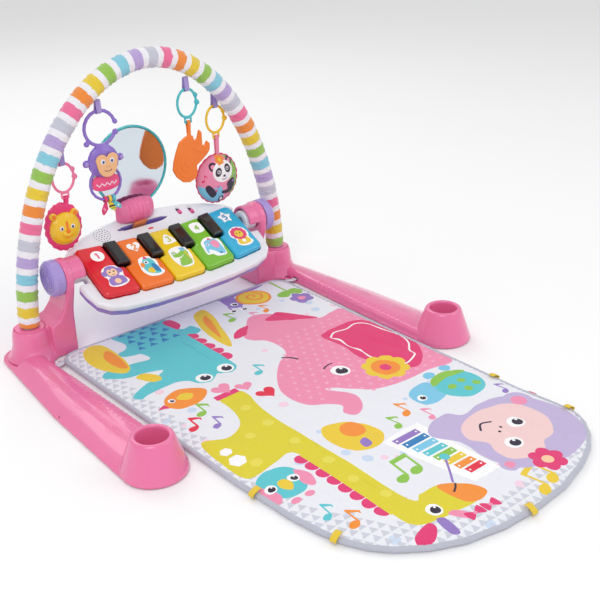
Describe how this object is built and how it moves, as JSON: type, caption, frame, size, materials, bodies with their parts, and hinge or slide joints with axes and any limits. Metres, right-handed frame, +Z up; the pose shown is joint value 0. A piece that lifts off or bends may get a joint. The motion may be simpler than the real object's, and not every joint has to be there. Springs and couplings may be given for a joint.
{
  "type": "activity play gym",
  "caption": "Baby floor gym: padded play mat between two bases that carry a toy arch with hanging toys and a tilting kick piano with a mirror.",
  "frame": {"origin": "on the floor under the middle of the whole gym", "axes": "+Z up, +Y from the mat towards the arch and piano, +X to the right as seen from the mat end"},
  "size_m": [0.7106, 0.9412, 0.4979],
  "materials": {
    "pink_gloss": "glossy moulded",
    "grey_plastic": "plain moulded",
    "foot_rubber": "matt",
    "white_tube": "plain extruded",
    "striped_fabric": "gathered knit sleeve in repeating coloured stripes",
    "lilac_ribbon": "woven ribbon",
    "pink_link": "glossy moulded",
    "magenta_soft": "soft textured",
    "yellow_gloss": "glossy moulded",
    "purple_gloss": "glossy moulded",
    "peach_plastic": "satin",
    "pink_ribbon": "printed fabric",
    "yellow_ribbon": "printed fabric",
    "teal_gloss": "glossy moulded",
    "orange_silicone": "satin",
    "pillow_fabric": "printed fabric over soft filling",
    "white_gloss": "glossy moulded",
    "green_board": "circuit board",
    "steel": "plain",
    "speaker_paper": "paper cone",
    "key_red": "glossy moulded",
    "key_orange": "glossy moulded",
    "key_yellow": "glossy moulded",
    "key_green": "glossy moulded",
    "key_blue": "glossy moulded",
    "black_gloss": "glossy moulded",
    "magenta_plastic": "glossy moulded",
    "lilac_plastic": "glossy moulded",
    "teal_rim": "glossy moulded",
    "mirror_face": "acrylic mirror",
    "orange_fabric": "woven strap",
    "mat_fabric": "printed cotton over thin padding",
    "white_webbing": "woven"
  },
  "bodies": {
    "base": {"base_shell_left": "pink_gloss", "base_shell_right": "pink_gloss", "base_plate_left": "grey_plastic", "base_plate_right": "grey_plastic", "socket_collar_left": "pink_gloss", "socket_collar_right": "pink_gloss", "foot_pad_front_left": "foot_rubber", "foot_pad_front_right": "foot_rubber", "foot_pad_back_left": "foot_rubber", "foot_pad_back_right": "foot_rubber", "mat_strap_left": "white_webbing", "mat_strap_right": "white_webbing"},
    "mat": {"play_mat": "mat_fabric"},
    "arch": {"arch_tube_left": "white_tube", "arch_tube_right": "white_tube", "arch_connector": "white_tube", "arch_sleeve": "striped_fabric", "toy_loop_lion": "lilac_ribbon", "toy_loop_monkey": "lilac_ribbon", "toy_loop_teether": "lilac_ribbon", "toy_loop_panda": "lilac_ribbon"},
    "piano": {"piano_top_shell": "white_gloss", "piano_bottom_shell": "purple_gloss", "battery_door": "purple_gloss", "circuit_board": "green_board", "battery_cell_1": "steel", "battery_cell_2": "steel", "battery_cell_3": "steel", "speaker": "speaker_paper", "key_rail": "black_gloss", "black_key_1": "black_gloss", "black_key_2": "black_gloss", "black_key_3": "black_gloss", "black_key_4": "black_gloss", "pivot_shaft_left": "steel", "pivot_shaft_right": "steel", "hub_knob_left": "lilac_plastic", "hub_knob_right": "lilac_plastic", "mirror_clip": "pink_gloss", "mirror_strap": "orange_fabric"},
    "mirror": {"mirror_rim": "teal_rim", "mirror_disc": "mirror_face"},
    "monkey": {"monkey_body": "purple_gloss", "monkey_face": "peach_plastic"},
    "leaf_pink_tag": {"leaf_pink": "pink_ribbon"},
    "leaf_yellow_tag": {"leaf_yellow": "yellow_ribbon"},
    "pink_link_body": {"link_pink": "pink_link"},
    "lion": {"lion_mane": "magenta_soft", "lion_face": "yellow_gloss"},
    "teal_link_body": {"link_teal": "teal_gloss"},
    "teether_body": {"teether": "orange_silicone"},
    "yellow_link_body": {"link_yellow": "yellow_gloss"},
    "panda": {"panda_pillow": "pillow_fabric"},
    "volume_slider": {"switch_volume": "magenta_plastic"},
    "mode_slider": {"switch_mode": "magenta_plastic"},
    "red_key_body": {"key_red": "key_red"},
    "orange_key_body": {"key_orange": "key_orange"},
    "yellow_key_body": {"key_yellow": "key_yellow"},
    "green_key_body": {"key_green": "key_green"},
    "blue_key_body": {"key_blue": "key_blue"}
  },
  "joints": [
    {"name": "mat_unfasten", "type": "slide", "parent": "base", "child": "mat", "axis": [0, -1, 0], "range_m": [0, 0.12]},
    {"name": "arch_lift", "type": "slide", "parent": "base", "child": "arch", "axis": [0, 0, 1], "range_m": [0, 0.055]},
    {"name": "piano_tilt", "type": "hinge", "parent": "base", "child": "piano", "pos_m": [0, 0.3703, 0.143], "axis": [1, 0, 0], "range_deg": [-27, 4]},
    {"name": "mirror_tilt", "type": "hinge", "parent": "piano", "child": "mirror", "pos_m": [-0.012, 0.4468, 0.201], "axis": [1, 0, 0], "range_deg": [-20, 6]},
    {"name": "press_red", "type": "hinge", "parent": "piano", "child": "red_key_body", "pos_m": [-0.137, 0.40421, 0.15614], "axis": [1, 0, 0], "range_deg": [0, 2.5], "stiffness_Nm_per_rad": 0.9, "springref_deg": -5.73},
    {"name": "press_orange", "type": "hinge", "parent": "piano", "child": "orange_key_body", "pos_m": [-0.0685, 0.39905, 0.15354], "axis": [1, 0, 0], "range_deg": [0, 2.5], "stiffness_Nm_per_rad": 0.9, "springref_deg": -5.73},
    {"name": "press_yellow", "type": "hinge", "parent": "piano", "child": "yellow_key_body", "pos_m": [0, 0.39733, 0.15268], "axis": [1, 0, 0], "range_deg": [0, 2.5], "stiffness_Nm_per_rad": 0.9, "springref_deg": -5.73},
    {"name": "press_green", "type": "hinge", "parent": "piano", "child": "green_key_body", "pos_m": [0.0685, 0.39905, 0.15354], "axis": [1, 0, 0], "range_deg": [0, 2.5], "stiffness_Nm_per_rad": 0.9, "springref_deg": -5.73},
    {"name": "press_blue", "type": "hinge", "parent": "piano", "child": "blue_key_body", "pos_m": [0.137, 0.40421, 0.15614], "axis": [1, 0, 0], "range_deg": [0, 2.5], "stiffness_Nm_per_rad": 0.9, "springref_deg": -5.73},
    {"name": "slide_volume", "type": "slide", "parent": "piano", "child": "volume_slider", "axis": [0, 0.8934, 0.4493], "range_m": [0, 0.008]},
    {"name": "slide_mode", "type": "slide", "parent": "piano", "child": "mode_slider", "axis": [0, 0.8934, 0.4493], "range_m": [0, 0.008]},
    {"name": "monkey_swing", "type": "hinge", "parent": "arch", "child": "monkey", "pos_m": [-0.098, 0.3883, 0.407], "axis": [-1, 0, 0], "range_deg": [-10, 35]},
    {"name": "leaf_pink_swing", "type": "hinge", "parent": "monkey", "child": "leaf_pink_tag", "pos_m": [-0.098, 0.3883, 0.25], "axis": [-1, 0, 0], "range_deg": [-30, 40]},
    {"name": "leaf_yellow_swing", "type": "hinge", "parent": "monkey", "child": "leaf_yellow_tag", "pos_m": [-0.098, 0.3883, 0.25], "axis": [-1, 0, 0], "range_deg": [-30, 40]},
    {"name": "pink_link_swing", "type": "hinge", "parent": "arch", "child": "pink_link_body", "pos_m": [-0.166, 0.4105, 0.3246], "axis": [-1, 0, 0], "range_deg": [-8, 12]},
    {"name": "lion_swing", "type": "hinge", "parent": "pink_link_body", "child": "lion", "pos_m": [-0.166, 0.4105, 0.2633], "axis": [-1, 0, 0], "range_deg": [-12, 25]},
    {"name": "teal_link_swing", "type": "hinge", "parent": "arch", "child": "teal_link_body", "pos_m": [0.082, 0.3883, 0.4143], "axis": [-1, 0, 0], "range_deg": [-10, 35]},
    {"name": "teether_swing", "type": "hinge", "parent": "teal_link_body", "child": "teether_body", "pos_m": [0.082, 0.3883, 0.353], "axis": [-1, 0, 0], "range_deg": [-12, 25]},
    {"name": "yellow_link_swing", "type": "hinge", "parent": "arch", "child": "yellow_link_body", "pos_m": [0.158, 0.4105, 0.3671], "axis": [-1, 0, 0], "range_deg": [-8, 12]},
    {"name": "panda_swing", "type": "hinge", "parent": "yellow_link_body", "child": "panda", "pos_m": [0.158, 0.4105, 0.3058], "axis": [-1, 0, 0], "range_deg": [-12, 25]}
  ]
}
